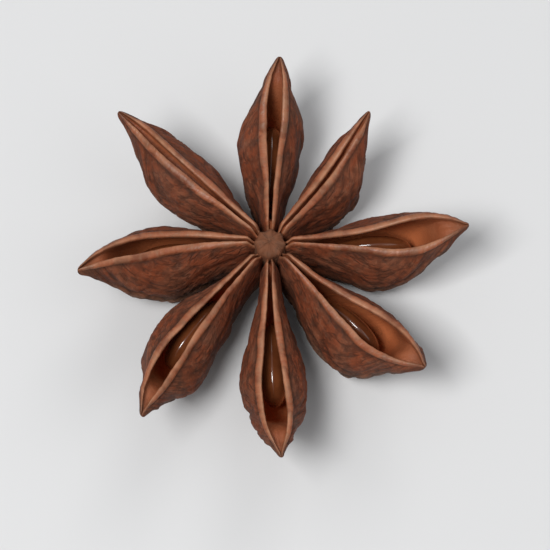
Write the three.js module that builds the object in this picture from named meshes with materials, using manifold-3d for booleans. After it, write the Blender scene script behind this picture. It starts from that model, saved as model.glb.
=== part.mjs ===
// Star anise pod: a dried, woody fruit of eight boat-shaped carpels grown together round a short
// column, with a seed loose in each carpel that has split open along its upper seam.
//
// Millimetres, +Z up. The pod lies on its keels with the seams up. The origin is the middle of the
// broken stalk's flat end, on the plane that the pod rests on.
import * as THREE from "three";
import { mergeVertices } from "three/addons/utils/BufferGeometryUtils.js";
import Module from "manifold-3d";

const wasm = await Module();
wasm.setup();

// ---- driving dimensions ----

const SEAM_HEIGHT = 8.4; // the seams where they leave the column, above the resting plane
const SEAM_DIP = 0.6; // how far a seam sinks between the column and the beak
const ROOT_RADIUS = 0.35; // where a carpel starts, inside the column
const ROOT_DEPTH = 6.6; // seam to keel at the column
const KEEL_PRESS = 0.12; // how much of the lowest keels is worn flat on the resting plane
const WALL = 0.62; // thickness of a carpel's wall
const FLOOR = 0.8; // thickness of a carpel below its hollow
const RIM = 0.72; // width of the smooth rim on each side of a seam
const RIM_CROWN = 0.28; // how far a rim is rounded up
const SEAM_LINE = 0.12; // half-width of the line that a shut seam leaves
const SEAM_LINE_DEPTH = 0.4;
const SHUT_GAPE = 0.6; // up to this gape a carpel is parted at the rims only
const FUSE_OVERLAP = 0.04; // how far neighbouring carpels reach into each other where they are fused
const NECK = 0.8; // half-width of the neck by which a carpel leaves the column

const KNOB_RADIUS = 1.25; // the column's round top, with a groove between it and the seams
const KNOB_HEIGHT = 8.35;
const GROOVE_DEPTH = 0.9;
const GROOVE_WIDTH = 0.6;
const COLUMN_RADIUS = 1.8;
const STALK_RADIUS = 1.1; // the stub that is left of the stalk

// A row for each carpel: its direction in degrees from +X, its beak's distance from the axis, its
// belly's width, its seam's widest gape, its beak's thickness, how far the beak bends to the left
// and how far it rises, the carpel's roll in degrees, its keel's height above the resting plane,
// and how far its seed's middle is from the axis, which is 0 for a shut carpel without one.
const CARPELS = [
  [2, 15.7, 5.7, 2.1, 1.2, 0.4, 1.2, 3, 0, 7.9],
  [50, 13.4, 4.0, 0.3, 0.9, 0.9, 0.5, -6, 0.9, 0],
  [89, 15.4, 5.2, 1.2, 1.3, -0.5, 0.9, 4, 0, 7.7],
  [137, 15.9, 4.8, 0.5, 1.1, 0.6, 1.5, -3, 0.3, 0],
  [176, 14.9, 5.5, 1.1, 1.5, 3.7, 0.7, 6, 0, 7.4],
  [226, 17.6, 5.6, 1.4, 1.2, 3.1, 1.0, -4, 0, 8.8],
  [270, 18.3, 5.3, 1.8, 1.0, 0.9, 1.3, 2, 0.2, 9.0],
  [317, 16.2, 6.0, 2.4, 1.6, 0.4, 0.8, -5, 0, 8.3],
].map(([turn, reach, width, gape, beak, sweep, lift, roll, clear, seed]) => {
  return { turn, reach, width, gape, beak, sweep, lift, roll, clear, seed };
});

// A seed is a flattened oval that stands on its edge in the hollow.
const SEED_LENGTH = 6.8;
const SEED_HEIGHT = 4.5;
const SEED_THICKNESS = 2.4;
const SEED_DEPTH = 3.4; // its middle, below the seam
const SEED_TAPER = 0.12; // how much blunter its outer end is than its inner end

// ---- proportions of a carpel, as shares of the way from its root to the end of its beak ----

const BELLY_END = 0.97; // beyond it the beak stands alone
const BELLY_SHIFT = 1.4; // over 1 moves the widest place outwards
const BELLY_TAPER = 0.12; // how much narrower it gets near the beak
const NECK_FADES = [0.1, 0.45]; // the belly swells out of the neck between these
const KEEL_END = 0.94;
const DEEPEST = 0.48; // where the keel is lowest
const KEEL_BEND = 2.3; // how late the keel turns up towards the beak
const KEEL_FULLNESS = 0.72; // under 1 makes it turn up steeply
const BEAK_FROM = 0.5; // the beak grows out of the belly from here
const BEAK_TIP = 0.9; // and is rounded off from here
const BEAK_DEPTH = 1.1; // its depth, as a share of its thickness
const SPLIT = [0.1, 0.98]; // a split seam gapes between these
const SPLIT_SHIFT = 2; // over 1 moves the widest gape outwards
const HOLLOW_OPENS = [0.1, 0.26];
const HOLLOW_CLOSES = [0.68, 0.9];
const SHUT_HOLLOW = 0.12; // what a shut carpel has of the hollow
const LIFT_FROM = 0.6; // the seam rises to the beak from here
const DIP_END = 0.8;
const LUMPS_FROM = [0.32, 0.48]; // the skin is smooth where the carpels are fused, then lumpy
const WIDEST_DEPTH = 0.42; // the widest place of a section, as a share of its depth

// ---- how finely the surfaces are cut ----

const STATIONS = 21; // sections along a carpel
const LAST_STATION = 0.985;
const FLANK_STEPS = 6; // from rim to keel on each side
const RIM_STEPS = 2;
const HOLLOW_STEPS = 4; // from seam to floor on each side
const COLUMN_SIDES = 24;
const SEED_RINGS = 9;
const SEED_SIDES = 14;

// ---- colours ----

const HUSK_COLOUR = 0x5e3523;
const SEED_COLOUR = 0x4a1f0d;

// ---- helpers ----

const { sin, cos, tan, atan2, sqrt, min, max, PI } = Math;
const { degToRad } = THREE.MathUtils;

const clamp01 = (x) => min(1, max(0, x));

function smoothstep([from, to], x) {
  const t = clamp01((x - from) / (to - from));
  return t * t * (3 - 2 * t);
}

// The larger of two lengths, with the crossing rounded.
const blend = (a, b) => (a ** 2.5 + b ** 2.5) ** 0.4;

// A closed surface through rings of points that run anticlockwise seen from the last ring, with a
// point that closes each end.
function loft(rings, startPoint, endPoint) {
  const sides = rings[0].length;
  const points = [startPoint, ...rings.flat(), endPoint];
  const last = points.length - 1;
  const at = (ring, side) => 1 + ring * sides + (side % sides);
  const index = [];
  for (let side = 0; side < sides; side++) {
    index.push(0, at(0, side + 1), at(0, side));
    for (let ring = 0; ring < rings.length - 1; ring++) {
      const [a, b] = [at(ring, side), at(ring, side + 1)];
      const [c, d] = [at(ring + 1, side), at(ring + 1, side + 1)];
      index.push(a, b, d, a, d, c);
    }
    index.push(last, at(rings.length - 1, side), at(rings.length - 1, side + 1));
  }
  return new THREE.BufferGeometry().setFromPoints(points).setIndex(index);
}

function solidFrom(geometry) {
  const bare = geometry.clone();
  bare.deleteAttribute("normal");
  bare.deleteAttribute("uv");
  const merged = mergeVertices(bare, 1e-5);
  return new wasm.Manifold(
    new wasm.Mesh({
      numProp: 3,
      vertProperties: merged.attributes.position.array,
      triVerts: new Uint32Array(merged.index.array),
    }),
  );
}

function geometryFrom(solid) {
  const mesh = solid.getMesh();
  return new THREE.BufferGeometry()
    .setAttribute("position", new THREE.BufferAttribute(mesh.vertProperties, 3))
    .setIndex(new THREE.BufferAttribute(mesh.triVerts, 1));
}

// ---- one carpel along +X, at the share s of the way from its root to the end of its beak ----

const radiusAt = (carpel, s) => ROOT_RADIUS + (carpel.reach - ROOT_RADIUS) * s;

// The lengths that shape a section. Belly, rim, gape and hollowWidth are half-widths.
function sectionSizes(carpel, s) {
  const tip = sqrt(1 - clamp01((s - BEAK_TIP) / (1 - BEAK_TIP)) ** 2);
  const beak = carpel.beak * tip * smoothstep([BEAK_FROM, BEAK_TIP], s);

  // Near the column the neighbours press on it, so there it is a wedge of an eighth of a turn.
  const wedge = radiusAt(carpel, s) * tan(PI / CARPELS.length) + FUSE_OVERLAP;
  const neck = NECK * (1 - smoothstep(NECK_FADES, s));
  const swell = sin(PI * min(1, s / BELLY_END) ** BELLY_SHIFT);
  const taper = 1 - BELLY_TAPER * smoothstep([2 / 3, BELLY_END], s);
  const belly = blend(min(wedge, blend((carpel.width / 2) * swell * taper, neck)), beak / 2);

  const fullDepth = SEAM_HEIGHT - SEAM_DIP + KEEL_PRESS - carpel.clear;
  const keelShare = min(1, s / KEEL_END);
  const inwards = max(0, (DEEPEST - keelShare) / DEEPEST);
  const outwards = max(0, (keelShare - DEEPEST) / (1 - DEEPEST));
  const keel = fullDepth - (fullDepth - ROOT_DEPTH) * inwards ** 2;
  const depth = blend(keel * (1 - outwards ** KEEL_BEND) ** KEEL_FULLNESS, BEAK_DEPTH * beak);

  // A split seam gapes widest past the middle and closes towards the column and the beak.
  const parting = sin(PI * clamp01((s - SPLIT[0]) / (SPLIT[1] - SPLIT[0])) ** SPLIT_SHIFT);
  const line = min(SEAM_LINE, belly / 6);
  const gape = line + max(0, carpel.gape / 2 - line) * parting;
  const rim = min(RIM, 0.75 * belly);
  const outer = max(belly, gape + rim);

  const hollow = smoothstep(HOLLOW_OPENS, s) * (1 - smoothstep(HOLLOW_CLOSES, s));
  const share = carpel.gape > SHUT_GAPE ? hollow : SHUT_HOLLOW * hollow;
  const lineDepth = min(SEAM_LINE_DEPTH, depth / 4);
  return {
    depth,
    belly: outer,
    rim: gape + rim,
    crown: min(RIM_CROWN, 0.4 * rim),
    gape,
    hollowWidth: gape + max(0, outer - WALL - gape) * share,
    hollowDepth: lineDepth + max(0, depth - FLOOR - lineDepth) * share,
  };
}

// Half of a boat-shaped outline, from its edge at the seam down to its keel, as [half-width,
// height]: a bulging line down to the widest place, then a quarter of an ellipse.
function boatOutline(edge, belly, depth, widest, steps) {
  const above = PI / 5; // the share of the steps that the line above the widest place takes
  return Array.from({ length: steps + 1 }, (_, i) => {
    const angle = -above + (i / steps) * (PI / 2 + above);
    if (angle >= 0) return [belly * cos(angle), -depth * (widest + (1 - widest) * sin(angle))];
    const up = sin(angle) / sin(-above);
    return [edge + (belly - edge) * (1 - up * up), -depth * widest * (1 - up)];
  });
}

// The closed outline of a section: down one flank, up the other, over the rim, round the hollow.
function sectionOutline(size) {
  const flip = (half) => half.map(([x, z]) => [-x, z]);
  const flank = boatOutline(size.rim, size.belly, size.depth, WIDEST_DEPTH, FLANK_STEPS);
  const wallWidest = min(0.75, (WIDEST_DEPTH * size.depth) / size.hollowDepth);
  const wall = boatOutline(size.gape, size.hollowWidth, size.hollowDepth, wallWidest, HOLLOW_STEPS);
  const half = (size.rim - size.gape) / 2;
  const rim = Array.from({ length: RIM_STEPS - 1 }, (_, i) => {
    const angle = ((i + 1) / RIM_STEPS) * PI;
    return [size.gape + half * (1 - cos(angle)), size.crown * sin(angle)];
  });
  return [
    ...flip(flank),
    ...flank.toReversed().slice(1),
    ...rim.toReversed(),
    ...wall,
    ...flip(wall).toReversed().slice(1),
    ...flip(rim),
  ];
}

// Where the seam is: its sideways bend, its height and the section's roll.
function seamPlace(carpel, s) {
  const grooveRing = [KNOB_RADIUS, KNOB_RADIUS + GROOVE_WIDTH];
  const groove = GROOVE_DEPTH * (1 - smoothstep(grooveRing, radiusAt(carpel, s)));
  const dip = SEAM_DIP * sin(PI * min(1, s / DIP_END));
  return {
    aside: carpel.sweep * s ** 3,
    height: SEAM_HEIGHT - groove - dip + carpel.lift * smoothstep([LIFT_FROM, 1], s),
    roll: degToRad(carpel.roll) * sin(PI * s),
  };
}

// Broad lumps and hollows of the dried skin, as a factor on the section's size.
function lumps(number, s, angle) {
  const phase = 1.7 * number;
  const broad = 0.03 * sin(9 * s + 2 * angle + phase);
  const narrow = 0.025 * sin(17 * s - 3 * angle + 2.3 * phase);
  return 1 + (broad + narrow) * smoothstep(LUMPS_FROM, s);
}

function carpelSolid(carpel, number) {
  const rings = Array.from({ length: STATIONS + 1 }, (_, i) => {
    const s = LAST_STATION * sin((PI / 2) * (i / STATIONS)) ** 1.15;
    const place = seamPlace(carpel, s);
    return sectionOutline(sectionSizes(carpel, s)).map(([x, z], k) => {
      const isFlank = k > 0 && k < 2 * FLANK_STEPS;
      const factor = isFlank ? lumps(number, s, atan2(z, x)) : 1;
      const [wide, tall] = [x * factor, z * factor];
      return new THREE.Vector3(
        radiusAt(carpel, s),
        place.aside + wide * cos(place.roll) - tall * sin(place.roll),
        place.height + wide * sin(place.roll) + tall * cos(place.roll),
      );
    });
  });
  const root = new THREE.Vector3(ROOT_RADIUS, 0, seamPlace(carpel, 0).height - ROOT_DEPTH / 2);
  const end = seamPlace(carpel, 1);
  const lastDepth = sectionSizes(carpel, LAST_STATION).depth;
  const tip = new THREE.Vector3(carpel.reach, end.aside, end.height - 0.4 * lastDepth);
  const geometry = loft(rings, root, tip);
  geometry.rotateZ(degToRad(carpel.turn));
  return solidFrom(geometry);
}

// ---- the column that joins the carpels, with the stub of the stalk below it ----

function columnSolid() {
  const profile = [
    [0, 0],
    [STALK_RADIUS, 0],
    [STALK_RADIUS * 0.9, 0.7],
    [STALK_RADIUS * 1.05, 1.2],
    [COLUMN_RADIUS, 1.9],
    [COLUMN_RADIUS, 3.2],
    [KNOB_RADIUS, 5.5],
    [KNOB_RADIUS, KNOB_HEIGHT - 0.4],
    [KNOB_RADIUS * 0.8, KNOB_HEIGHT - 0.1],
    [KNOB_RADIUS * 0.45, KNOB_HEIGHT],
    [0, KNOB_HEIGHT - 0.1],
  ].map(([radius, height]) => new THREE.Vector2(radius, height));
  const geometry = new THREE.LatheGeometry(profile, COLUMN_SIDES);
  geometry.rotateX(PI / 2);
  return solidFrom(geometry);
}

// All that is one piece: column, stub and carpels, cut off at the resting plane.
function huskGeometry() {
  const join = (solid, carpel, number) => solid.add(carpelSolid(carpel, number));
  const whole = CARPELS.reduce(join, columnSolid());
  const span = 60;
  const above = new THREE.BoxGeometry(span, span, span).translate(0, 0, span / 2);
  return geometryFrom(whole.intersect(solidFrom(above)));
}

// ---- a seed, along +X ----

function seedGeometry() {
  const rings = Array.from({ length: SEED_RINGS - 1 }, (_, i) => {
    const angle = PI * ((i + 1) / SEED_RINGS);
    const full = sin(angle) ** 0.9 * (1 - SEED_TAPER * cos(angle));
    return Array.from({ length: SEED_SIDES }, (_, k) => {
      const turn = (2 * PI * k) / SEED_SIDES;
      const across = (SEED_THICKNESS / 2) * full * cos(turn);
      const up = (SEED_HEIGHT / 2) * full * sin(turn);
      return new THREE.Vector3((-SEED_LENGTH / 2) * cos(angle), across, up);
    });
  });
  const end = SEED_LENGTH / 2;
  return loft(rings, new THREE.Vector3(-end, 0, 0), new THREE.Vector3(end, 0, 0));
}

// A seed in its carpel's hollow, turned with the carpel's bend and roll.
function seedMesh(carpel, material) {
  const s = carpel.seed / carpel.reach;
  const place = seamPlace(carpel, s);
  const seed = new THREE.Mesh(seedGeometry(), material);
  const aside = place.aside + SEED_DEPTH * sin(place.roll);
  seed.position.set(carpel.seed, aside, place.height - SEED_DEPTH);
  seed.rotation.set(place.roll, 0, (3 * carpel.sweep * s ** 2) / carpel.reach);
  return seed;
}

// ---- the pod ----

const pod = new THREE.Group();

const huskMaterial = new THREE.MeshStandardMaterial({ color: HUSK_COLOUR, roughness: 0.75, metalness: 0 });
const husk = new THREE.Mesh(huskGeometry(), huskMaterial);
husk.name = "husk";
pod.add(husk);

const seedMaterial = new THREE.MeshStandardMaterial({ color: SEED_COLOUR, roughness: 0.2, metalness: 0 });
const splitCarpels = CARPELS.filter((carpel) => carpel.seed > 0);
splitCarpels.forEach((carpel, i) => {
  const hollow = new THREE.Group();
  hollow.rotation.z = degToRad(carpel.turn);
  const seed = seedMesh(carpel, seedMaterial);
  seed.name = `seed_${i + 1}`;
  hollow.add(seed);
  pod.add(hollow);
});

export default pod;
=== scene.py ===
"""A dried star anise pod, dressed for close views.

The husk is one closed surface: eight carpels worked out on grids of two parameters, joined to a
short column with the stub of its stalk. A glossy seed lies in each carpel that has split.
Lengths are in millimetres until a mesh is filled, where MM turns them into metres.
"""
import itertools
import math

import bmesh
import bpy
import numpy as np
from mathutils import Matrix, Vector


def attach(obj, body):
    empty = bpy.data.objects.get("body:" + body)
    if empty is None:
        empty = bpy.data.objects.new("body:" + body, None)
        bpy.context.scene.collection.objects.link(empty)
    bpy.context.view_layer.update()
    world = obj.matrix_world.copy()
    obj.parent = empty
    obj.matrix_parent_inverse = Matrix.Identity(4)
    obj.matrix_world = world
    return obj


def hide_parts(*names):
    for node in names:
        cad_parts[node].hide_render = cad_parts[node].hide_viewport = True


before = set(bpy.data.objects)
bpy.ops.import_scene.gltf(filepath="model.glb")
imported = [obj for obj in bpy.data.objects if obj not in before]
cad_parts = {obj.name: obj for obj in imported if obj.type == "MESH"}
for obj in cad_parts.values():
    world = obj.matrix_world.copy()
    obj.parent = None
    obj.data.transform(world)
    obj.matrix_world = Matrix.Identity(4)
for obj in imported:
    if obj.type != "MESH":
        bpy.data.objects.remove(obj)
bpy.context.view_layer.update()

MM = 0.001

# ---- driving dimensions, as the solids have them ----

SEAM_HEIGHT = 8.4
SEAM_DIP = 0.6
ROOT_RADIUS = 0.35
ROOT_DEPTH = 6.6
KEEL_PRESS = 0.12
WALL = 0.62
FLOOR = 0.8
RIM = 0.72
RIM_CROWN = 0.28
SEAM_LINE = 0.12
SEAM_LINE_DEPTH = 0.4
SHUT_GAPE = 0.6
FUSE_OVERLAP = 0.04
NECK = 0.8
KNOB_RADIUS = 1.25
KNOB_HEIGHT = 8.35
GROOVE_DEPTH = 0.9
GROOVE_WIDTH = 0.6
COLUMN_RADIUS = 1.8
STALK_RADIUS = 1.1

# A row for each carpel: its direction in degrees from +X, its beak's distance from the axis, its
# belly's width, its seam's widest gape, its beak's thickness, how far the beak bends to the left
# and how far it rises, the carpel's roll in degrees, its keel's height above the resting plane,
# and how far its seed's middle is from the axis, which is 0 for a shut carpel without one.
CARPEL_ROWS = [
    (2, 15.7, 5.7, 2.1, 1.2, 0.4, 1.2, 3, 0, 7.9),
    (50, 13.4, 4.0, 0.3, 0.9, 0.9, 0.5, -6, 0.9, 0),
    (89, 15.4, 5.2, 1.2, 1.3, -0.5, 0.9, 4, 0, 7.7),
    (137, 15.9, 4.8, 0.5, 1.1, 0.6, 1.5, -3, 0.3, 0),
    (176, 14.9, 5.5, 1.1, 1.5, 3.7, 0.7, 6, 0, 7.4),
    (226, 17.6, 5.6, 1.4, 1.2, 3.1, 1.0, -4, 0, 8.8),
    (270, 18.3, 5.3, 1.8, 1.0, 0.9, 1.3, 2, 0.2, 9.0),
    (317, 16.2, 6.0, 2.4, 1.6, 0.4, 0.8, -5, 0, 8.3),
]
CARPEL_KEYS = ("turn", "reach", "width", "gape", "beak", "sweep", "lift", "roll", "clear", "seed")
CARPELS = [dict(zip(CARPEL_KEYS, row)) for row in CARPEL_ROWS]

SEED_LENGTH = 6.8
SEED_HEIGHT = 4.5
SEED_THICKNESS = 2.4
SEED_DEPTH = 3.4  # its middle, below the seam
SEED_TAPER = 0.12

# Proportions of a carpel, as shares of the way from its root to the end of its beak.
BELLY_END = 0.97
BELLY_SHIFT = 1.4
BELLY_TAPER = 0.12
NECK_FADES = (0.1, 0.45)
KEEL_END = 0.94
DEEPEST = 0.48
KEEL_BEND = 2.3
KEEL_FULLNESS = 0.72
BEAK_FROM = 0.5
BEAK_TIP = 0.9
BEAK_DEPTH = 1.1
SPLIT = (0.1, 0.98)
SPLIT_SHIFT = 2
HOLLOW_OPENS = (0.1, 0.26)
HOLLOW_CLOSES = (0.68, 0.9)
SHUT_HOLLOW = 0.12
LIFT_FROM = 0.6
DIP_END = 0.8
LUMPS_FROM = (0.32, 0.48)
WIDEST_DEPTH = 0.42
OPEN_FROM = (0.2, 0.4)
OPEN_UNTIL = (0.9, 0.98)

# ---- relief of the dried surface, in millimetres ----

WRINKLE = 0.27  # depth of the long creases in the outer skin
FOLD = (4.5, 1.6)  # length and width of the folds between them
PUCKER = (1.8, 1.1)  # the same of the small folds
SWELL = (3.2, 2.0)  # and of the swells
DRIFT = (3.0, 2.4)  # and of the drift that bends the creases
DRIFT_FAR = (1.1, 0.6)  # how far it carries them, along and around
DEEPEST_CREASE = 0.26
CRINKLE = 0.07  # height of the fine crumpling
CRINKLE_SIZE = (0.7, 0.55)
SLENDER = 1.2  # half-width of a section under which the relief fades
FUSED_SIDE = (0.03, 0.5)  # distance from a neighbour over which it fades in
SMOOTH_BEAK = (0.8, 0.96)  # share of the way over which it fades out

LIP_WAVE = 0.2  # how far a lip rises and sinks along the seam
LIP_SWAY = 0.1  # how far its edge wanders sideways
SWAY_FROM = 0.56  # which is less where it is nearer to the seam's middle than this
LIP_REACH = 1.6  # how far below the seam both die away
LIP_LENGTH = 2.4  # from one such wave to the next
LIP_SHARE = 0.82  # a lip's width as a share of the solid's rim
LIP_AT_COLUMN = 0.52  # and beside the column and at the beak, as shares of that
LIP_AT_BEAK = 0.65
LIP_WIDENS = (0.05, 0.45)  # shares of the way over which it leaves the first
LIP_NARROWS = (0.7, 0.95)  # and comes to the second
LIP_UNEVEN = 0.25  # how much that width varies along the way
LIP_PUCKER = 0.04  # height of the small ribs across it
LIP_RIB = (0.5, 1.2)  # their width and length
LIP_OUTLINE = 0.06  # depth of the crease between a lip and the skin
RIM_FULLNESS = 0.55  # under 1 flattens a rim's crown
RIM_LEAN = 1.6  # over 1 moves the crown towards the slit

LINING_RIPPLE = 0.03  # height of the faint folds that run down the inner wall
LINING_FOLD = (0.7, 3.0)  # their width and length
LINING_DEPTH = 5.0  # below the seam, where the lining is palest: painted light, standing in for light that hardly reaches the deep hollow

# Broad lumps of the skin: height as a share, waves along and around, and the shift per carpel.
LUMP_WAVES = ((0.03, 9, 2, 1.7), (0.025, 17, -3, 3.91))

# The number that the random slopes of each noise start from.
NOISE_START = {
    "drift": 21,
    "folds": 22,
    "puckers": 23,
    "swells": 24,
    "crinkle": 25,
    "lip_width": 31,
    "lip_sway": 32,
    "lip_wave": 33,
    "lining": 41,
    "ribs": 42,
    "fibres": 51,
    "pits": 52,
    "dents": 61,
}
NEXT_CARPEL = 7.31  # from one carpel's slice of a noise to the next one's
NEXT_MAP = 40  # millimetres between the carpels' places on the map

# ---- how finely the surfaces are cut ----

STATIONS = 92
STATION_CROWDING = 1.15  # over 1 crowds the rings towards the column too
LAST_STATION = 0.997  # where the last ring stands before the beak's point
FLANK_STEPS = 42
FLANK_CROWDING = 1.25  # over 1 crowds the steps towards the lip
RIM_STEPS = 7
HOLLOW_STEPS = 10
COLUMN_RINGS = 60
COLUMN_SIDES = 72
SEED_RINGS = 64
SEED_SIDES = 64


# ---- numbers in fields ----

def smoothstep(span, x):
    """0 before the span, 1 after it, and 3t^2 - 2t^3 between."""
    t = np.clip((x - span[0]) / (span[1] - span[0]), 0, 1)
    return t * t * (3 - 2 * t)


def blend(a, b):
    """The larger of two lengths with the crossing rounded: (a^2.5 + b^2.5)^(1/2.5)."""
    return (np.abs(a) ** 2.5 + np.abs(b) ** 2.5) ** 0.4


def valley(x, width):
    """1 where x is 0 and falling off on both sides: exp(-(x/width)^2)."""
    return np.exp(-((x / width) ** 2))


def noise(points, start):
    """Gradient noise from about -1 to 1 at points of shape (..., 3), one bump to a unit.

    Each corner of the unit cell round a point has a random slope; the eight heights that the
    slopes give at the point are averaged with quintic weights.
    """
    rng = np.random.default_rng(start)
    order = rng.permutation(256)
    slopes = rng.normal(size=(256, 3))
    slopes /= np.linalg.norm(slopes, axis=1, keepdims=True)
    cell = np.floor(points).astype(int)
    inside = points - cell
    fade = inside ** 3 * (inside * (inside * 6 - 15) + 10)
    total = np.zeros(points.shape[:-1])
    for corner in itertools.product((0, 1), repeat=3):
        x, y, z = np.moveaxis((cell + corner) & 255, -1, 0)
        slope = slopes[order[(order[(order[x] + y) & 255] + z) & 255]]
        weight = np.prod(np.where(corner, fade, 1 - fade), axis=-1)
        total += weight * np.sum(slope * (inside - corner), axis=-1)
    return total * 1.6


def field(along, around, third, scales, kind):
    """Noise on a surface: its two lengths, each over its own scale, and a third number."""
    parts = np.broadcast_arrays(along / scales[0], around / scales[1], third)
    return noise(np.stack(parts, axis=-1), NOISE_START[kind])


# ---- a closed mesh from a grid ----

def closed_mesh(name, rings, ends, marks):
    """A closed surface through rings of points, shape (rings, sides, 3), with a point at each end.

    Rings run anticlockwise seen from the last one. Each mark is a value for every grid point and
    becomes an attribute of the face corners, so that a union keeps it. "along" and "around" become
    the UV map, whose seam is where a ring starts.
    """
    count, sides = rings.shape[:2]
    points = np.concatenate([ends[:1], rings.reshape(-1, 3), ends[1:]]) * MM
    grid = 1 + np.arange(count * sides).reshape(count, sides)
    beside = np.roll(grid, -1, axis=1)
    quads = np.stack([grid[:-1], beside[:-1], beside[1:], grid[1:]], axis=-1).reshape(-1, 4)
    last = count * sides + 1
    first_fan = np.stack([np.zeros(sides, int), beside[0], grid[0]], axis=-1)
    last_fan = np.stack([np.full(sides, last), grid[-1], beside[-1]], axis=-1)

    mesh = bpy.data.meshes.new(name)
    mesh.from_pydata(points.tolist(), [], quads.tolist() + first_fan.tolist() + last_fan.tolist())
    corners = np.concatenate([quads.ravel(), first_fan.ravel(), last_fan.ravel()])
    for mark, values in marks.items():
        if mark in ("along", "around"):
            continue
        full = np.broadcast_to(values, (count, sides))
        each = np.concatenate([full[0, :1], full.ravel(), full[-1, :1]])[corners]
        mesh.attributes.new(mark, "FLOAT", "CORNER").data.foreach_set("value", each.astype(np.float32))

    # Each column of faces reads its own two sides, so the map doesn't fold back at its seam.
    place = np.stack(np.broadcast_arrays(marks["along"], marks["around"]), axis=-1) * MM
    step = place[:, -1:] - place[:, -2:-1]
    wide = np.concatenate([place, place[:, -1:] + step], axis=1)
    uv_quads = np.stack([wide[:-1, :-1], wide[:-1, 1:], wide[1:, 1:], wide[1:, :-1]], axis=2)
    uv_first = np.stack([wide[0, :-1], wide[0, 1:], wide[0, :-1]], axis=1)
    uv_last = np.stack([wide[-1, :-1], wide[-1, :-1], wide[-1, 1:]], axis=1)
    layer = mesh.uv_layers.new(name="skin_map")
    flat = np.concatenate([uv_quads.reshape(-1, 2), uv_first.reshape(-1, 2), uv_last.reshape(-1, 2)])
    layer.data.foreach_set("uv", flat.astype(np.float32).ravel())
    return mesh


def outward(rings):
    """Unit normals of a grid: the cross product of the steps along a ring and between rings."""
    beside = np.roll(rings, -1, axis=1) - np.roll(rings, 1, axis=1)
    onward = np.gradient(rings, axis=0)
    normals = np.cross(beside, onward)
    return normals / np.maximum(np.linalg.norm(normals, axis=-1, keepdims=True), 1e-9)


def turned(points, degrees):
    """Points turned about the column's axis."""
    turn = math.radians(degrees)
    spin = np.array([[math.cos(turn), math.sin(turn), 0], [-math.sin(turn), math.cos(turn), 0], [0, 0, 1]])
    return points @ spin


# ---- one carpel along +X, at the shares s of the way from its root to the end of its beak ----

def radius_at(carpel, s):
    """Distance from the axis: the root's radius plus the share s of the rest of the reach."""
    return ROOT_RADIUS + (carpel["reach"] - ROOT_RADIUS) * s


def wedge_at(carpel, s):
    """Half the width that an eighth of a turn leaves to a carpel: r tan(pi/8) and an overlap."""
    return radius_at(carpel, s) * math.tan(math.pi / len(CARPELS)) + FUSE_OVERLAP


def section_sizes(carpel, s):
    """The lengths that shape the sections at s: half-widths of belly, rim, gape, hollow, and depths.

    The belly is half a sine of a power, which swells out of a neck that is held to an eighth of a
    turn, and the keel two power curves that meet at the deepest place. The beak is rounded off by
    a quarter circle. The gape is half a sine of a power, and the hollow opens and closes by smooth
    steps.
    """
    tip = np.sqrt(1 - np.clip((s - BEAK_TIP) / (1 - BEAK_TIP), 0, 1) ** 2)
    beak = carpel["beak"] * tip * smoothstep((BEAK_FROM, BEAK_TIP), s)

    neck = NECK * (1 - smoothstep(NECK_FADES, s))
    swell = np.sin(np.pi * np.minimum(1, s / BELLY_END) ** BELLY_SHIFT)
    taper = 1 - BELLY_TAPER * smoothstep((2 / 3, BELLY_END), s)
    body = np.minimum(wedge_at(carpel, s), blend(carpel["width"] / 2 * swell * taper, neck))
    belly = blend(body, beak / 2)

    full_depth = SEAM_HEIGHT - SEAM_DIP + KEEL_PRESS - carpel["clear"]
    keel_share = np.minimum(1, s / KEEL_END)
    inwards = np.maximum(0, (DEEPEST - keel_share) / DEEPEST)
    outwards = np.maximum(0, (keel_share - DEEPEST) / (1 - DEEPEST))
    keel = full_depth - (full_depth - ROOT_DEPTH) * inwards ** 2
    depth = blend(keel * (1 - outwards ** KEEL_BEND) ** KEEL_FULLNESS, BEAK_DEPTH * beak)

    split_share = np.clip((s - SPLIT[0]) / (SPLIT[1] - SPLIT[0]), 0, 1)
    parting = np.sin(np.pi * split_share ** SPLIT_SHIFT)
    line = np.minimum(SEAM_LINE, belly / 6)
    gape = line + np.maximum(0, carpel["gape"] / 2 - line) * parting
    rim = np.minimum(RIM, 0.75 * belly)
    outer = np.maximum(belly, gape + rim)

    hollow = smoothstep(HOLLOW_OPENS, s) * (1 - smoothstep(HOLLOW_CLOSES, s))
    share = hollow if carpel["gape"] > SHUT_GAPE else SHUT_HOLLOW * hollow
    line_depth = np.minimum(SEAM_LINE_DEPTH, depth / 4)
    return {
        "depth": depth,
        "belly": outer,
        "rim": gape + rim,
        "crown": np.minimum(RIM_CROWN, 0.4 * rim),
        "gape": gape,
        "hollow_width": gape + np.maximum(0, outer - WALL - gape) * share,
        "hollow_depth": line_depth + np.maximum(0, depth - FLOOR - line_depth) * share,
    }


def boat_outline(edge, belly, depth, widest, v):
    """Half of a boat-shaped outline, v from 0 at the edge to 1 at the keel, as widths and heights.

    Down to the widest place it bulges by 1 - u^2, and below that it is a quarter of an ellipse.
    """
    above = math.pi / 5
    angle = -above + v * (math.pi / 2 + above)
    up = np.clip(-np.sin(angle) / math.sin(above), 0, None)
    upper = edge + (belly - edge) * (1 - up * up), -depth * widest * (1 - up)
    lower = belly * np.cos(angle), -depth * (widest + (1 - widest) * np.sin(angle))
    return np.where(angle < 0, upper[0], lower[0]), np.where(angle < 0, upper[1], lower[1])


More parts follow.
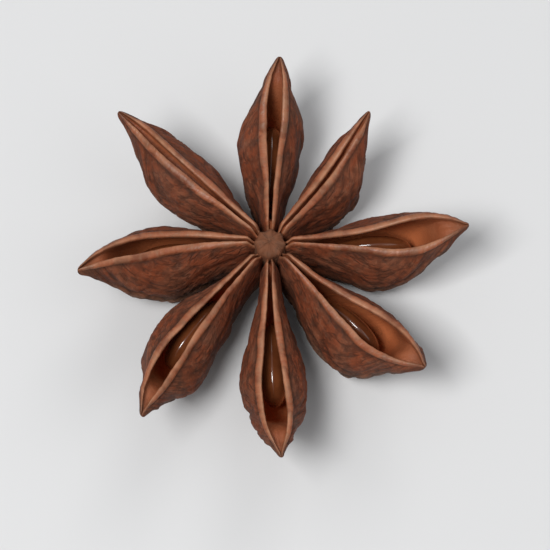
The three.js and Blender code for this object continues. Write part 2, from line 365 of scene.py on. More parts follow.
def half_sections(size, slim, sway, wave):
    """Half of every section, from the keel up the flank, over the rim and down the inner wall.

    Flank and inner wall are boat outlines. The rim between them is a cosine across and a power of
    a sine up, whose crown leans to the slit. Slim is the share of the rim's width that the lip
    has; sway moves the lip outwards, and wave lifts it, both dying away below it.
    """
    edge = size["gape"] + (size["rim"] - size["gape"]) * slim
    v = np.linspace(1, 0, FLANK_STEPS + 1) ** FLANK_CROWDING
    flank = boat_outline(edge, size["belly"], size["depth"], WIDEST_DEPTH, v)
    t = np.linspace(0, 1, RIM_STEPS + 1)[1:-1]
    rim_across = size["gape"] + (edge - size["gape"]) / 2 * (1 + np.cos(np.pi * t))
    rim_up = size["crown"] * np.sin(np.pi * t ** RIM_LEAN) ** RIM_FULLNESS
    v = np.linspace(0, 1, HOLLOW_STEPS + 1)
    widest = np.minimum(0.75, WIDEST_DEPTH * size["depth"] / size["hollow_depth"])
    wall = boat_outline(size["gape"], size["hollow_width"], size["hollow_depth"], widest, v)
    across, up = (np.concatenate(parts, axis=1) for parts in zip(flank, (rim_across, rim_up), wall))
    lip = 1 - smoothstep((0, LIP_REACH), -up)
    return across + sway * lip * np.clip(across / SWAY_FROM, 0, 1), up + wave * lip


def both_halves(left, right):
    """A ring from the hollow's floor over the left rim to the keel, and back over the right rim."""
    return np.concatenate([left[..., :0:-1], right[..., :-1]], axis=-1)


def seam_place(carpel, s):
    """Where the seam is: its sideways bend s^3, its height and the section's roll."""
    ring = (KNOB_RADIUS, KNOB_RADIUS + GROOVE_WIDTH)
    groove = GROOVE_DEPTH * (1 - smoothstep(ring, radius_at(carpel, s)))
    dip = SEAM_DIP * np.sin(np.pi * np.minimum(1, s / DIP_END))
    height = SEAM_HEIGHT - groove - dip + carpel["lift"] * smoothstep((LIFT_FROM, 1), s)
    return carpel["sweep"] * s ** 3, height, math.radians(carpel["roll"]) * np.sin(np.pi * s)


def lumps(number, s, angle):
    """Broad lumps and hollows of the skin, as a factor: one plus two crossing sine waves."""
    waves = sum(height * np.sin(along * s + around * angle + shift * number)
                for height, along, around, shift in LUMP_WAVES)
    return 1 + waves * smoothstep(LUMPS_FROM, s)


def opened(s):
    """1 where the seam has come apart, and by smooth steps 0 towards the column and the beak."""
    return smoothstep(OPEN_FROM, s) * (1 - smoothstep(OPEN_UNTIL, s))


def lip_halves(number, s, radius, size):
    """The left and right halves of the sections, each with a lip of its own.

    A lip is slimmer beside the column and at the beak, by smooth steps, and its width, place and
    height wander along the seam by noise.
    """
    loose = opened(s)
    taper = LIP_AT_COLUMN + (1 - LIP_AT_COLUMN) * smoothstep(LIP_WIDENS, s)
    taper = LIP_SHARE * (taper - (1 - LIP_AT_BEAK) * smoothstep(LIP_NARROWS, s))
    row = number + 0.4
    halves = []
    for side in (0.6, 1.6):
        slim = taper * (1 + LIP_UNEVEN * field(radius, row, side, (LIP_LENGTH, 1), "lip_width"))
        sway = LIP_SWAY * loose * field(radius, row, side, (LIP_LENGTH, 1), "lip_sway")
        wave = LIP_WAVE * loose * field(radius, row, side, (LIP_LENGTH * 1.4, 1), "lip_wave")
        halves.append(half_sections(size, slim, sway, wave))
    return halves


def zone_masks():
    """The zones of a ring, from 0 to 1.

    Skin, its upper flank, the crease that outlines the lip (later darkened as painted shade), the
    rim, the rim towards its inner edge (later painted paler, partly as wear and partly as a painted
    highlight) and the lining are straight ramps over the steps of half a ring, from keel to hollow floor.
    """
    edge = FLANK_STEPS
    inner_edge = FLANK_STEPS + RIM_STEPS
    floor = inner_edge + HOLLOW_STEPS
    ramps = {
        "skin": ([edge - 8, edge - 1], [1, 0]),
        "upper": ([edge * 0.35, edge * 0.8], [0, 1]),
        # The crease outside the lip, which the colour darkens as painted shade.
        "outline": ([edge - 4, edge - 1, edge + 0.6], [0, 1, 0]),
        "rim": ([edge - 1.2, edge + 0.8, inner_edge - 0.5, inner_edge + 0.8], [0, 1, 1, 0]),
        # The rim towards the slit, painted paler later: partly wear, partly a painted highlight.
        "worn": ([edge + 1.5, inner_edge - 2, inner_edge + 0.4], [0, 1, 0]),
        "lining": ([inner_edge - 1, inner_edge + 0.5], [0, 1]),
    }
    halves = {name: np.interp(np.arange(floor + 1), *ramp) for name, ramp in ramps.items()}
    return {name: both_halves(half, half) for name, half in halves.items()}


def skin_relief(number, along, around):
    """Height of the dried skin: swells, creases where two noises cross zero, and fine crumpling.

    The noises are read at places that another one pushes about, so that the creases branch. A
    hyperbolic tangent keeps the creases from cutting through the wall.
    """
    third = NEXT_CARPEL * number
    push = field(along, around, third, DRIFT, "drift")
    along, around = along + DRIFT_FAR[0] * push, around + DRIFT_FAR[1] * push
    long_creases = valley(field(along, around, third, FOLD, "folds"), 0.2)
    short_creases = valley(field(along, around, third, PUCKER, "puckers"), 0.24)
    swell = field(along, around, third, SWELL, "swells")
    crumple = field(along, around, third, CRINKLE_SIZE, "crinkle")
    height = WRINKLE * (0.3 + 0.6 * swell - long_creases - 0.5 * short_creases) + CRINKLE * crumple
    return np.where(height < 0, DEEPEST_CREASE * np.tanh(height / DEEPEST_CREASE), height)


def travelled(steps, axis):
    """Distance along an axis of a grid: the running sum of the lengths of its steps."""
    lengths = np.linalg.norm(np.diff(steps, axis=axis), axis=-1)
    start = np.zeros_like(np.take(lengths, [0], axis=axis))
    return np.cumsum(np.concatenate([start, lengths], axis=axis), axis=axis)


def carpel_mesh(carpel, number):
    """One carpel: sections carried along the seam, which bends, dips, rises and rolls.

    Ring i of n stands at a share of the way near sin(pi/2 * i/n)^1.15, so they crowd towards the
    beak. The skin is moved along its normals by its relief, which fades at the rims, the beak, the
    fused sides and where a section is slender.
    """
    share = np.linspace(0, 1, STATIONS + 1)[:, None]
    s = LAST_STATION * np.sin(np.pi / 2 * share) ** STATION_CROWDING
    radius = radius_at(carpel, s)
    size = section_sizes(carpel, s)
    (left_across, left_up), (right_across, right_up) = lip_halves(number, s, radius, size)
    across = both_halves(-left_across, right_across)
    up = both_halves(left_up, right_up)
    zone = zone_masks()
    factor = 1 + (lumps(number, s, np.arctan2(up, across)) - 1) * zone["skin"]
    across, up = across * factor, up * factor

    aside, height, roll = seam_place(carpel, s)
    rings = np.stack(np.broadcast_arrays(
        radius,
        aside + across * np.cos(roll) - up * np.sin(roll),
        height + across * np.sin(roll) + up * np.cos(roll)), axis=-1)
    along = travelled(rings, 0)
    around = travelled(rings, 1)
    keel = FLANK_STEPS + RIM_STEPS + HOLLOW_STEPS
    around = around - around[:, keel:keel + 1]

    stout = smoothstep((0, SLENDER), size["belly"])
    free = smoothstep(FUSED_SIDE, wedge_at(carpel, s) - np.abs(across)) * stout
    fade = free * (1 - 0.8 * smoothstep(SMOOTH_BEAK, s)) * (1 - 0.45 * zone["upper"])
    relief = skin_relief(number, along, around) * zone["skin"] * fade
    outline = LIP_OUTLINE * zone["outline"] * opened(s)
    ribs = LIP_PUCKER * field(along, around, number, LIP_RIB, "ribs") * zone["rim"] * stout
    ripple = LINING_RIPPLE * field(along, around, number, LINING_FOLD, "lining")
    ripple = ripple * zone["lining"] * opened(s)
    rings = rings + outward(rings) * (relief - outline + ribs + ripple)[..., None]

    end_aside, end_height, _ = seam_place(carpel, 1)
    root = [ROOT_RADIUS, 0, float(seam_place(carpel, 0)[1]) - ROOT_DEPTH / 2]
    tip = [carpel["reach"], end_aside, float(end_height - 0.4 * size["depth"][-1, 0])]
    ends = turned(np.array([root, tip]), carpel["turn"])
    rings = turned(rings, carpel["turn"])
    rings[..., 2] = np.maximum(rings[..., 2], 0)
    marks = {
        "along": along + NEXT_MAP * number,
        "around": around,
        "upper": zone["upper"] * (1 - zone["lining"]),
        "outline": zone["outline"] * opened(s),
        "rim": zone["rim"],
        # The rim near its inner edge, painted paler as wear and as a painted highlight.
        "worn": zone["worn"],
        "lining": zone["lining"] * (1 - zone["rim"]),
        # Depth below the seam, by which the deep lining is painted paler as painted light.
        "deep": np.clip(-up / LINING_DEPTH, 0, 1),
        # Height of the relief, by which the colour darkens the creases as painted shade and lightens the
        # crests as wear and painted highlight.
        "relief": np.clip(0.7 + 0.8 * relief / WRINKLE, 0, 1),
        "tip": smoothstep((0.88, 0.98), s),
        "knob": 0,
        "break": 0,
    }
    return closed_mesh(f"carpel_{number + 1}", rings, ends, marks)


# ---- the column that joins the carpels, with the stub of the stalk below it ----

def column_mesh():
    """The column: a profile turned about the axis, from the middle of the break to the knob's top.

    The corner points of the profile are joined straight, read at even steps and averaged over
    their neighbours. Fibres of the broken stalk are radial noise, and the knob has a groove for
    each carpel, half a cosine deep.
    """
    corners = np.array([
        (0.0, 0.0),
        (STALK_RADIUS, 0.0),
        (STALK_RADIUS * 0.9, 0.7),
        (STALK_RADIUS * 1.05, 1.2),
        (COLUMN_RADIUS, 1.9),
        (COLUMN_RADIUS, 3.2),
        (KNOB_RADIUS, 5.5),
        (KNOB_RADIUS, KNOB_HEIGHT - 0.4),
        (KNOB_RADIUS * 0.8, KNOB_HEIGHT - 0.1),
        (KNOB_RADIUS * 0.45, KNOB_HEIGHT),
        (0.0, KNOB_HEIGHT - 0.1),
    ])
    lengths = np.concatenate([[0], np.cumsum(np.hypot(*np.diff(corners, axis=0).T))])
    even = np.linspace(0, lengths[-1], COLUMN_RINGS + 2)
    profile = np.stack([np.interp(even, lengths, corners[:, k]) for k in (0, 1)], axis=1)
    softer = profile.copy()
    softer[1:-1] = (profile[:-2] + 2 * profile[1:-1] + profile[2:]) / 4
    radius, height = softer[1:-1, :1], softer[1:-1, 1:]

    turn = 2 * np.pi * np.arange(COLUMN_SIDES) / COLUMN_SIDES
    east, north = np.cos(turn), np.sin(turn)
    fibre = field(5 * east, 5 * north, 0.4 * height, (1, 1), "fibres")
    knob = smoothstep((KNOB_HEIGHT - 1.6, KNOB_HEIGHT - 0.9), height)
    grooves = 0.5 + 0.5 * np.cos(len(CARPELS) * (turn - math.radians(20)))
    radius = radius * (1 + 0.05 * fibre * (1 - knob) - 0.09 * grooves * knob)
    pits = field(radius * east, radius * north, 0.5, (0.33, 0.33), "pits")
    grooved = grooves * smoothstep((0.25, 0.8), radius / KNOB_RADIUS)
    height = height + knob * (0.1 * pits - 0.14 * grooved)
    cut = 1 - smoothstep((0.02, 0.3), height)
    inside = smoothstep((STALK_RADIUS, STALK_RADIUS * 0.7), radius)
    height = height + 0.18 * cut * inside * np.clip(pits, 0, 1)
    rings = np.stack(np.broadcast_arrays(radius * east, radius * north, height), axis=-1)
    rings[..., 2] = np.maximum(rings[..., 2], 0)

    marks = dict.fromkeys(("upper", "outline", "rim", "worn", "lining", "deep", "tip"), 0)
    marks.update({
        "along": height + 10 * NEXT_MAP,
        "around": turn * STALK_RADIUS,
        "relief": np.clip(0.6 + 0.4 * fibre, 0, 1),
        "knob": knob,
        "break": cut,
    })
    ends = np.array([[0, 0, 0.1], [0, 0, KNOB_HEIGHT - 0.12]])
    return closed_mesh("column", rings, ends, marks)


# ---- a seed, along +X ----

def seed_mesh(name, carpel, number):
    """A flattened oval on its edge, turned with its carpel's bend and roll.

    Its half-widths are sin(angle)^0.9 times 1 - taper cos(angle). A thin ridge runs round its
    edge, and a shallow scar marks its inner end.
    """
    angle = np.pi * (np.arange(1, SEED_RINGS) / SEED_RINGS)[:, None]
    turn = 2 * np.pi * np.arange(SEED_SIDES) / SEED_SIDES
    full = np.sin(angle) ** 0.9 * (1 - SEED_TAPER * np.cos(angle))
    ridge = valley(np.cos(turn), 0.16) * np.sin(angle)
    across = SEED_THICKNESS / 2 * full * np.cos(turn) * (1 - 0.12 * ridge)
    up = (SEED_HEIGHT / 2 - 0.07 + 0.07 * ridge) * full * np.sin(turn)
    along = -SEED_LENGTH / 2 * np.cos(angle)
    dents = field(along, across, up / 2.5 + 3 * number, (2.2, 1.6), "dents")
    shrink = 1 - 0.02 * np.clip(dents, 0, 1) - 0.01
    scar = valley(angle, 0.34) * valley(np.sin(turn) - 0.1, 1.2)
    rings = np.stack(np.broadcast_arrays(
        along * (1 - 0.035 * scar),
        across * shrink,
        up * shrink), axis=-1)

    s = carpel["seed"] / carpel["reach"]
    aside, height, roll = seam_place(carpel, s)
    yaw = 3 * carpel["sweep"] * s ** 2 / carpel["reach"]
    end = SEED_LENGTH / 2
    ends = np.array([[-end * 0.965, 0, 0], [end, 0, 0]])
    middle = np.array([carpel["seed"], aside + SEED_DEPTH * math.sin(roll), height - SEED_DEPTH])
    tilt = np.array([[1, 0, 0], [0, math.cos(roll), math.sin(roll)], [0, -math.sin(roll), math.cos(roll)]])

    def placed(points):
        return turned(turned(points @ tilt, math.degrees(yaw)) + middle, carpel["turn"])

    marks = {
        "along": along + 20 * number,
        "around": SEED_HEIGHT / 2 * turn,
        "scar": scar,
        "ridge": ridge,
    }
    return closed_mesh(name, placed(rings), placed(ends), marks)


# ---- nodes ----

def put(tree, kind, inputs=None, **settings):
    """A node of this kind, with its settings made and its inputs set or joined to sockets."""
    made = tree.nodes.new(kind)
    for name, value in settings.items():
        setattr(made, name, value)
    for name, value in (inputs or {}).items():
        if isinstance(value, bpy.types.NodeSocket):
            tree.links.new(value, made.inputs[name])
        else:
            made.inputs[name].default_value = value
    return made


def calc(tree, operation, a, b=0.0):
    """The result of a Math node."""
    return put(tree, "ShaderNodeMath", {0: a, 1: b}, operation=operation).outputs[0]


def times(tree, a, b):
    """The product of two values."""
    return calc(tree, "MULTIPLY", a, b)


def spread(tree, value, low, high, to_low=0.0, to_high=1.0):
    """A value eased from one range to another."""
    inputs = {"Value": value, "From Min": low, "From Max": high, "To Min": to_low, "To Max": to_high}
    return put(tree, "ShaderNodeMapRange", inputs, interpolation_type="SMOOTHSTEP").outputs[0]


def mix(tree, factor, a, b, way="MIX"):
    """Two colours mixed by a factor. Sockets 6 and 7 are the Mix node's colours."""
    made = put(tree, "ShaderNodeMix", data_type="RGBA", blend_type=way)
    for index, value in ((0, factor), (6, a), (7, b)):
        if isinstance(value, bpy.types.NodeSocket):
            tree.links.new(value, made.inputs[index])
        elif index:
            made.inputs[index].default_value = (*value, 1)
        else:
            made.inputs[index].default_value = value
    return made.outputs[2]


def mark(tree, name):
    """The value of a face-corner attribute."""
    return put(tree, "ShaderNodeAttribute", attribute_name=name).outputs["Fac"]


def node_group(name, inputs, outputs):
    """An empty shader node group with named float and vector sockets, and its two end nodes."""
    group = bpy.data.node_groups.new(name, "ShaderNodeTree")
    for title, kind, value in inputs:
        socket = group.interface.new_socket(title, in_out="INPUT", socket_type=kind)
        if value is not None:
            socket.default_value = value
    for title in outputs:
        group.interface.new_socket(title, in_out="OUTPUT", socket_type="NodeSocketFloat")
    return group, group.nodes.new("NodeGroupInput"), group.nodes.new("NodeGroupOutput")


def mottling_group():
    """Soft-edged blotches: noise read at places that a coarser noise has pushed about."""
    group, given, result = node_group(
        "mottling",
        [("Vector", "NodeSocketVector", None), ("Scale", "NodeSocketFloat", 500.0),
         ("Low", "NodeSocketFloat", 0.4), ("High", "NodeSocketFloat", 0.6)],
        ["Mask"])
    sized = put(group, "ShaderNodeVectorMath", {0: given.outputs["Vector"]}, operation="SCALE")
    group.links.new(given.outputs["Scale"], sized.inputs["Scale"])
    coarse = put(group, "ShaderNodeTexNoise", {"Vector": sized.outputs[0], "Scale": 0.6, "Detail": 2.0})
    pushed = put(group, "ShaderNodeVectorMath", {0: coarse.outputs["Color"], 1: sized.outputs[0]},
                 operation="ADD")
    blotches = put(group, "ShaderNodeTexNoise",
                   {"Vector": pushed.outputs[0], "Scale": 1.0, "Detail": 5.0, "Roughness": 0.6})
    mask = put(group, "ShaderNodeMapRange", {
        "Value": blotches.outputs["Fac"],
        "From Min": given.outputs["Low"],
        "From Max": given.outputs["High"],
    }, interpolation_type="SMOOTHSTEP")
    group.links.new(mask.outputs[0], result.inputs["Mask"])
    return group


def streaks_group():
    """Long thin marks: noise on the skin's own map, stretched along or across it."""
    group, given, result = node_group(
        "streaks",
        [("Map", "NodeSocketVector", None), ("Along", "NodeSocketFloat", 200.0),
         ("Across", "NodeSocketFloat", 2000.0)],
        ["Tone"])
    parts = put(group, "ShaderNodeSeparateXYZ", {0: given.outputs["Map"]})
    along = calc(group, "MULTIPLY", parts.outputs["X"], given.outputs["Along"])
    across = calc(group, "MULTIPLY", parts.outputs["Y"], given.outputs["Across"])
    place = put(group, "ShaderNodeCombineXYZ", {"X": along, "Y": across})
    lines = put(group, "ShaderNodeTexNoise",
                {"Vector": place.outputs[0], "Scale": 1.0, "Detail": 3.0, "Roughness": 0.55})
    group.links.new(spread(group, lines.outputs["Fac"], 0.3, 0.7), result.inputs["Tone"])
    return group


def grain_group():
    """Fine dry grain, as a height and a tone: pores, and shrunken plates between broken cracks.

    The plates are Voronoi cells read at places that noise has pushed about, and another noise
    says where their cracks show.
    """
    group, given, result = node_group(
        "fine_grain",
        [("Vector", "NodeSocketVector", None), ("Scale", "NodeSocketFloat", 2500.0),
         ("Cracks", "NodeSocketFloat", 0.5)],
        ["Height", "Tone"])
    sized = put(group, "ShaderNodeVectorMath", {0: given.outputs["Vector"]}, operation="SCALE")
    group.links.new(given.outputs["Scale"], sized.inputs["Scale"])
    place = sized.outputs[0]
    rough = put(group, "ShaderNodeTexNoise",
                {"Vector": place, "Scale": 1.0, "Detail": 6.0, "Roughness": 0.65})
    drift = put(group, "ShaderNodeTexNoise", {"Vector": place, "Scale": 0.4, "Detail": 3.0})
    far = put(group, "ShaderNodeVectorMath", {0: drift.outputs["Color"], "Scale": 4.0}, operation="SCALE")
    pushed = put(group, "ShaderNodeVectorMath", {0: far.outputs[0], 1: place}, operation="ADD")
    plates = put(group, "ShaderNodeTexVoronoi", {"Vector": pushed.outputs[0], "Scale": 0.5},
                 feature="DISTANCE_TO_EDGE")
    shown = times(group, spread(group, drift.outputs["Fac"], 0.4, 0.62), given.outputs["Cracks"])
    crack = times(group, spread(group, plates.outputs["Distance"], 0.0, 0.22, 1.0, 0.0), shown)
    height = calc(group, "SUBTRACT", rough.outputs["Fac"], crack)
    group.links.new(height, result.inputs["Height"])
    group.links.new(spread(group, height, 0.05, 0.6), result.inputs["Tone"])
    return group


def use(tree, group, inputs):
    """The outputs of a node group placed with its own values."""
    return put(tree, "ShaderNodeGroup", inputs, node_tree=group).outputs


def new_material(name):
    """A material, its node tree and its Principled shader, already joined to the output."""
    material = bpy.data.materials.new(name)
    material.use_nodes = True
    tree = material.node_tree
    tree.nodes.clear()
    shader = tree.nodes.new("ShaderNodeBsdfPrincipled")
    end = tree.nodes.new("ShaderNodeOutputMaterial")
    tree.links.new(shader.outputs[0], end.inputs["Surface"])
    return material, tree, shader


# ---- materials ----

SKIN_DARK = (0.030, 0.012, 0.006)
SKIN_BROWN = (0.200, 0.092, 0.050)
SKIN_TAN = (0.310, 0.152, 0.088)
SKIN_GREY = (0.180, 0.120, 0.088)
UPPER_RED = (0.222, 0.047, 0.014)
LIP_RED = (0.240, 0.060, 0.024)
LIP_TAN = (0.350, 0.130, 0.060)
LIP_PALE = (0.480, 0.235, 0.130)
LIP_BLOTCH = (0.115, 0.025, 0.009)
LINING_BROWN = (0.330, 0.105, 0.044)
LINING_MAROON = (0.250, 0.062, 0.022)
LINING_AMBER_PAINTED_LIGHT = (0.640, 0.190, 0.070)
TIP_DARK = (0.050, 0.028, 0.016)
KNOB_BROWN = (0.178, 0.062, 0.027)
BREAK_STRAW = (0.400, 0.265, 0.160)

# Blotches of each kind to a metre, and the two values of their noise between which they fade in.
BLOTCHES = {
    "patches": (330.0, 0.38, 0.66),
    "bloom": (210.0, 0.45, 0.70),
    "blots": (620.0, 0.46, 0.60),
    "specks": (1500.0, 0.45, 0.62),
    "flecks": (2300.0, 0.54, 0.66),
}
# Streaks to a metre along the seam, and around the carpel.
STREAKS = {
    "fibres": (350.0, 2600.0),
    "ribs": (3400.0, 400.0),
}
GRAIN_SCALE = 3000.0  # grains to a metre
GRAIN_DEPTH = 0.00011  # metres
GRAIN_STRETCH = (0.5, 1.0, 1.0)  # under 1 draws the grain out along the seam
SKIN_ROUGHNESS = 0.72
LIP_ROUGHNESS = 0.36


def skin_colour(tree, masks, dry):
    """Brown with painted shade in the creases, tan crests that are partly wear and partly painted
    highlight, a grey bloom, and red towards the lips.
    """
    relief = mark(tree, "relief")
    # Tan on the relief's crests: partly wear, partly a painted highlight where the crests catch the light.
    worn = times(tree, masks["patches"], spread(tree, relief, 0.4, 0.95))
    skin = mix(tree, times(tree, worn, 0.7), SKIN_BROWN, SKIN_TAN)
    skin = mix(tree, times(tree, masks["bloom"], 0.5), skin, SKIN_GREY)
    reddened = spread(tree, mark(tree, "upper"), 0.0, 0.7)
    red = times(tree, reddened, spread(tree, masks["patches"], 0.0, 1.0, 0.95, 0.65))
    skin = mix(tree, red, skin, UPPER_RED)
    # Painted shade: the creases of the relief are darkened towards near black.
    skin = mix(tree, spread(tree, relief, 0.0, 0.6, 0.85, 0.0), skin, SKIN_DARK)
    skin = mix(tree, times(tree, masks["flecks"], 0.25), skin, SKIN_TAN)
    skin = mix(tree, times(tree, masks["specks"], 0.4), skin, SKIN_DARK)
    skin = mix(tree, spread(tree, dry["Tone"], 0.0, 1.0, 0.5, 0.0), skin, SKIN_DARK)
    return mix(tree, times(tree, masks["fibres"], 0.25), skin, SKIN_DARK)


def lip_colour(tree, masks):
    """Reddish with tan ribs across, dark blotches and specks; paler along its crest, partly wear, partly
    painted highlight.
    """
    lip = mix(tree, times(tree, masks["ribs"], 0.5), LIP_RED, LIP_TAN)
    lip = mix(tree, times(tree, masks["bloom"], 0.35), lip, LIP_TAN)
    lip = mix(tree, times(tree, masks["blots"], 0.8), lip, LIP_BLOTCH)
    lip = mix(tree, times(tree, masks["specks"], 0.6), lip, SKIN_BROWN)
    # Paler along the lip's crest: partly wear, partly a painted highlight.
    pale = times(tree, mark(tree, "worn"), spread(tree, masks["patches"], 0.0, 1.0, 0.2, 0.65))
    return mix(tree, pale, lip, LIP_PALE)


def husk_material(mottling, streaks, grain):
    """Dry wrinkled skin, satin lips, a glossy lining, and straw-coloured fibres at the break, with painted
    shade in the creases and painted light deep in the lining.
    """
    material, tree, shader = new_material("dried_husk")
    place = put(tree, "ShaderNodeTexCoord").outputs["Object"]
    skin_map = put(tree, "ShaderNodeUVMap", uv_map="skin_map").outputs[0]
    rim = mark(tree, "rim")
    lining = mark(tree, "lining")
    masks = {}
    for name, (scale, low, high) in BLOTCHES.items():
        given = {"Vector": place, "Scale": scale, "Low": low, "High": high}
        masks[name] = use(tree, mottling, given)[0]
    for name, (along, across) in STREAKS.items():
        masks[name] = use(tree, streaks, {"Map": skin_map, "Along": along, "Across": across})[0]
    drawn = put(tree, "ShaderNodeVectorMath", {0: skin_map, 1: GRAIN_STRETCH}, operation="MULTIPLY")
    dry = use(tree, grain, {"Vector": drawn.outputs[0], "Scale": GRAIN_SCALE, "Cracks": 0.5})

    wall = mix(tree, times(tree, masks["patches"], 0.7), LINING_BROWN, LINING_MAROON)
    # Painted light: the lining turns a paler amber the deeper it lies, where real light hardly reaches.
    wall = mix(tree, spread(tree, mark(tree, "deep"), 0.2, 1.0), wall, LINING_AMBER_PAINTED_LIGHT)
    colour = mix(tree, lining, skin_colour(tree, masks, dry), wall)
    colour = mix(tree, rim, colour, lip_colour(tree, masks))
    # Painted shade: the crease between the lip and the skin is darkened towards near black.
    colour = mix(tree, times(tree, mark(tree, "outline"), 0.65), colour, SKIN_DARK)
    colour = mix(tree, times(tree, mark(tree, "tip"), 0.35), colour, TIP_DARK)
    worn_knob = spread(tree, masks["specks"], 0.0, 1.0, 0.85, 0.4)
    colour = mix(tree, times(tree, mark(tree, "knob"), worn_knob), colour, KNOB_BROWN)
    straw = mix(tree, masks["specks"], BREAK_STRAW, SKIN_BROWN)
    colour = mix(tree, mark(tree, "break"), colour, straw)
    tree.links.new(colour, shader.inputs["Base Color"])

    smooth = calc(tree, "MAXIMUM", rim, lining)
    rough = spread(tree, smooth, 0.0, 1.0, SKIN_ROUGHNESS, LIP_ROUGHNESS)
    rough = calc(tree, "ADD", rough, times(tree, dry["Tone"], 0.08))
    tree.links.new(rough, shader.inputs["Roughness"])
    shader.inputs["Specular IOR Level"].default_value = 0.28

    grit = times(tree, dry["Height"], spread(tree, smooth, 0.0, 1.0, 1.0, 0.18))
    lines = times(tree, masks["ribs"], spread(tree, smooth, 0.0, 1.0, 0.05, 0.2))
    grit = calc(tree, "ADD", grit, calc(tree, "ADD", lines, times(tree, masks["fibres"], 0.15)))
    bump = put(tree, "ShaderNodeBump", {"Height": grit, "Strength": 0.85, "Distance": GRAIN_DEPTH})
    tree.links.new(bump.outputs[0], shader.inputs["Normal"])
    return material


SEED_CHESTNUT = (0.215, 0.064, 0.021)
SEED_DARK = (0.080, 0.020, 0.007)
SEED_SCAR = (0.300, 0.190, 0.120)
SEED_CLOUDS = (420.0, 0.35, 0.70)  # as the husk's blotches
SEED_GRAIN_DEPTH = 0.00002  # metres
SEED_ROUGHNESS = 0.16
SCAR_ROUGHNESS = 0.55


def seed_material(mottling, grain):
    """Polished chestnut, darker along the ridge and in soft clouds, with a pale scar."""
    material, tree, shader = new_material("polished_seed")
    place = put(tree, "ShaderNodeTexCoord").outputs["Object"]
    scale, low, high = SEED_CLOUDS
    clouds = use(tree, mottling, {"Vector": place, "Scale": scale, "Low": low, "High": high})["Mask"]
    dry = use(tree, grain, {"Vector": place, "Scale": GRAIN_SCALE, "Cracks": 0.1})
    colour = mix(tree, times(tree, clouds, 0.6), SEED_CHESTNUT, SEED_DARK)
    colour = mix(tree, times(tree, mark(tree, "ridge"), 0.5), colour, SEED_DARK)
    scar = spread(tree, mark(tree, "scar"), 0.3, 0.8)
    colour = mix(tree, scar, colour, SEED_SCAR)
    tree.links.new(colour, shader.inputs["Base Color"])
    rough = spread(tree, scar, 0.0, 1.0, SEED_ROUGHNESS, SCAR_ROUGHNESS)
    rough = calc(tree, "ADD", rough, times(tree, clouds, 0.06))
    tree.links.new(rough, shader.inputs["Roughness"])
    shader.inputs["Coat Weight"].default_value = 0.7
    shader.inputs["Coat Roughness"].default_value = 0.07
    bump = put(tree, "ShaderNodeBump",
               {"Height": dry["Height"], "Strength": 0.25, "Distance": SEED_GRAIN_DEPTH})
    tree.links.new(bump.outputs[0], shader.inputs["Normal"])
    return material


def floor_material():
    """A plain pale, matt floor."""
    material, _, shader = new_material("pale_floor")
    shader.inputs["Base Color"].default_value = (0.66, 0.66, 0.66, 1)
    shader.inputs["Roughness"].default_value = 0.85
    shader.inputs["Specular IOR Level"].default_value = 0.2
    return material


# ---- pieces ----

SHARP_EDGE = 55  # degrees between faces, past which the shading breaks


def piece_from(mesh, material):
    """An object at the origin that shows a mesh in a material, shaded smooth."""
    mesh.materials.clear()
    mesh.materials.append(material)
    mesh.shade_smooth()
    mesh.set_sharp_from_angle(angle=math.radians(SHARP_EDGE))
    piece = bpy.data.objects.new(mesh.name, mesh)
    bpy.context.scene.collection.objects.link(piece)
    return piece


def keep_largest(mesh):
    """Drop the crumbs that a union may leave.

    Each vertex takes the lowest number among its neighbours, over and over, until every connected
    part has one number; the vertices with the commonest number stay.
    """
    pairs = np.empty(2 * len(mesh.edges), dtype=np.int32)
    mesh.edges.foreach_get("vertices", pairs)
    first, second = pairs.reshape(-1, 2).T
    label = np.arange(len(mesh.vertices))
    before = None
    while before is None or (label != before).any():
        before = label.copy()
        lowest = np.minimum(label[first], label[second])
        np.minimum.at(label, first, lowest)
        np.minimum.at(label, second, lowest)
        label = label[label]
    crumbs = np.flatnonzero(label != np.bincount(label).argmax())
    work = bmesh.new()
    work.from_mesh(mesh)
    work.verts.ensure_lookup_table()
    bmesh.ops.delete(work, geom=[work.verts[index] for index in crumbs], context="VERTS")
    work.to_mesh(mesh)
    work.free()


def union(name, meshes):
    """One mesh of several that reach into each other, by a Manifold union that is applied."""
    parts = [bpy.data.objects.new(mesh.name, mesh) for mesh in meshes]
    joined = bpy.data.collections.new("to_join")
    bpy.context.scene.collection.objects.link(parts[0])
    bpy.context.scene.collection.children.link(joined)
    for part in parts[1:]:
        joined.objects.link(part)
    modifier = parts[0].modifiers.new("union", "BOOLEAN")
    modifier.operation = "UNION"
    modifier.solver = "MANIFOLD"
    modifier.operand_type = "COLLECTION"
    modifier.collection = joined
    seen = parts[0].evaluated_get(bpy.context.evaluated_depsgraph_get())
    whole = bpy.data.meshes.new_from_object(seen)
    whole.name = name
    for part in parts:
        bpy.data.objects.remove(part)
    for mesh in meshes:
        bpy.data.meshes.remove(mesh)
    bpy.data.collections.remove(joined)
    keep_largest(whole)
    return whole


def make_husk(material):
    """The whole husk in place of its solid."""
    carpels = [carpel_mesh(carpel, number) for number, carpel in enumerate(CARPELS)]
    husk = piece_from(union("dried_husk", [column_mesh(), *carpels]), material)
    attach(husk, "root")
    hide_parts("husk")


def make_seeds(material):
    """A seed in each split carpel, in place of its solid."""
    split = [(number, carpel) for number, carpel in enumerate(CARPELS) if carpel["seed"] > 0]
    for count, (number, carpel) in enumerate(split, start=1):
        seed = piece_from(seed_mesh(f"glossy_seed_{count}", carpel, number), material)
        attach(seed, "root")
        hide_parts(f"seed_{count}")


# ---- floor, light and camera, in metres ----

FLOOR_HALF = 1.5
VIEW_ELEVATION = 70
VIEW_DISTANCE = 0.40
VIEW_LENS = 330
VIEW_CENTRE = Vector((0.0004, -0.0016, 0.005))


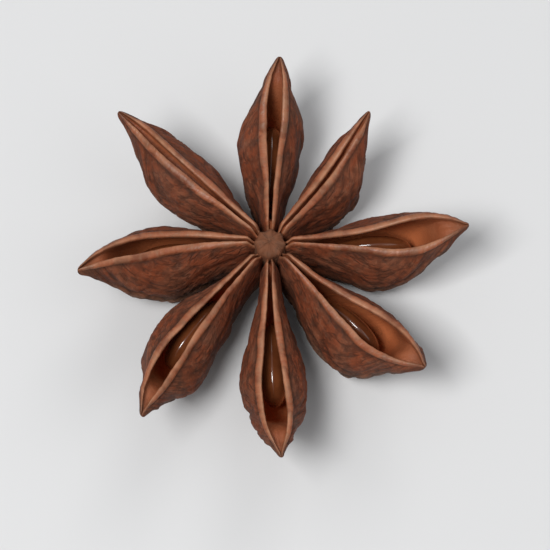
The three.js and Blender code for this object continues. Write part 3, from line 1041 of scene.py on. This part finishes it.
def look_at(thing, target):
    """Turn a camera or lamp so that it points at a place."""
    thing.rotation_euler = (target - thing.location).to_track_quat("-Z", "Y").to_euler()


def lamp(name, direction, distance, size, power):
    """A square soft light, in the direction given as azimuth and elevation, facing the pod."""
    azimuth, elevation = (math.radians(angle) for angle in direction)
    data = bpy.data.lights.new(name, "AREA")
    data.size = size
    data.energy = power
    light = bpy.data.objects.new(name, data)
    level = math.cos(elevation)
    ray = Vector((math.sin(azimuth) * level, -math.cos(azimuth) * level, math.sin(elevation)))
    light.location = VIEW_CENTRE + ray * distance
    look_at(light, VIEW_CENTRE)
    bpy.context.scene.collection.objects.link(light)


def make_stage():
    """A pale floor, soft lights and a camera that looks down on the pod."""
    mesh = bpy.data.meshes.new("floor")
    corners = [(x * FLOOR_HALF, y * FLOOR_HALF, 0) for x, y in ((-1, -1), (1, -1), (1, 1), (-1, 1))]
    mesh.from_pydata(corners, [], [(0, 1, 2, 3)])
    mesh.materials.append(floor_material())
    floor = bpy.data.objects.new("floor", mesh)
    bpy.context.scene.collection.objects.link(floor)

    lamp("key_light", (-50, 66), 0.6, 0.20, 2.9)
    lamp("fill_light", (70, 45), 0.7, 0.5, 0.45)
    lamp("back_light", (160, 40), 0.7, 0.35, 0.9)

    world = bpy.data.worlds.new("studio")
    world.use_nodes = True
    world.node_tree.nodes["Background"].inputs["Color"].default_value = (0.80, 0.82, 0.85, 1)
    world.node_tree.nodes["Background"].inputs["Strength"].default_value = 0.36
    bpy.context.scene.world = world

    camera = bpy.data.objects.new("camera", bpy.data.cameras.new("camera"))
    camera.data.lens = VIEW_LENS
    camera.data.clip_start = 0.01
    tilt = math.radians(VIEW_ELEVATION)
    camera.location = VIEW_CENTRE + Vector((0, -math.cos(tilt), math.sin(tilt))) * VIEW_DISTANCE
    look_at(camera, VIEW_CENTRE)
    bpy.context.scene.collection.objects.link(camera)
    bpy.context.scene.camera = camera
    bpy.context.scene.view_settings.view_transform = "Standard"


mottling = mottling_group()
streaks = streaks_group()
grain = grain_group()
make_husk(husk_material(mottling, streaks, grain))
make_seeds(seed_material(mottling, grain))
make_stage()
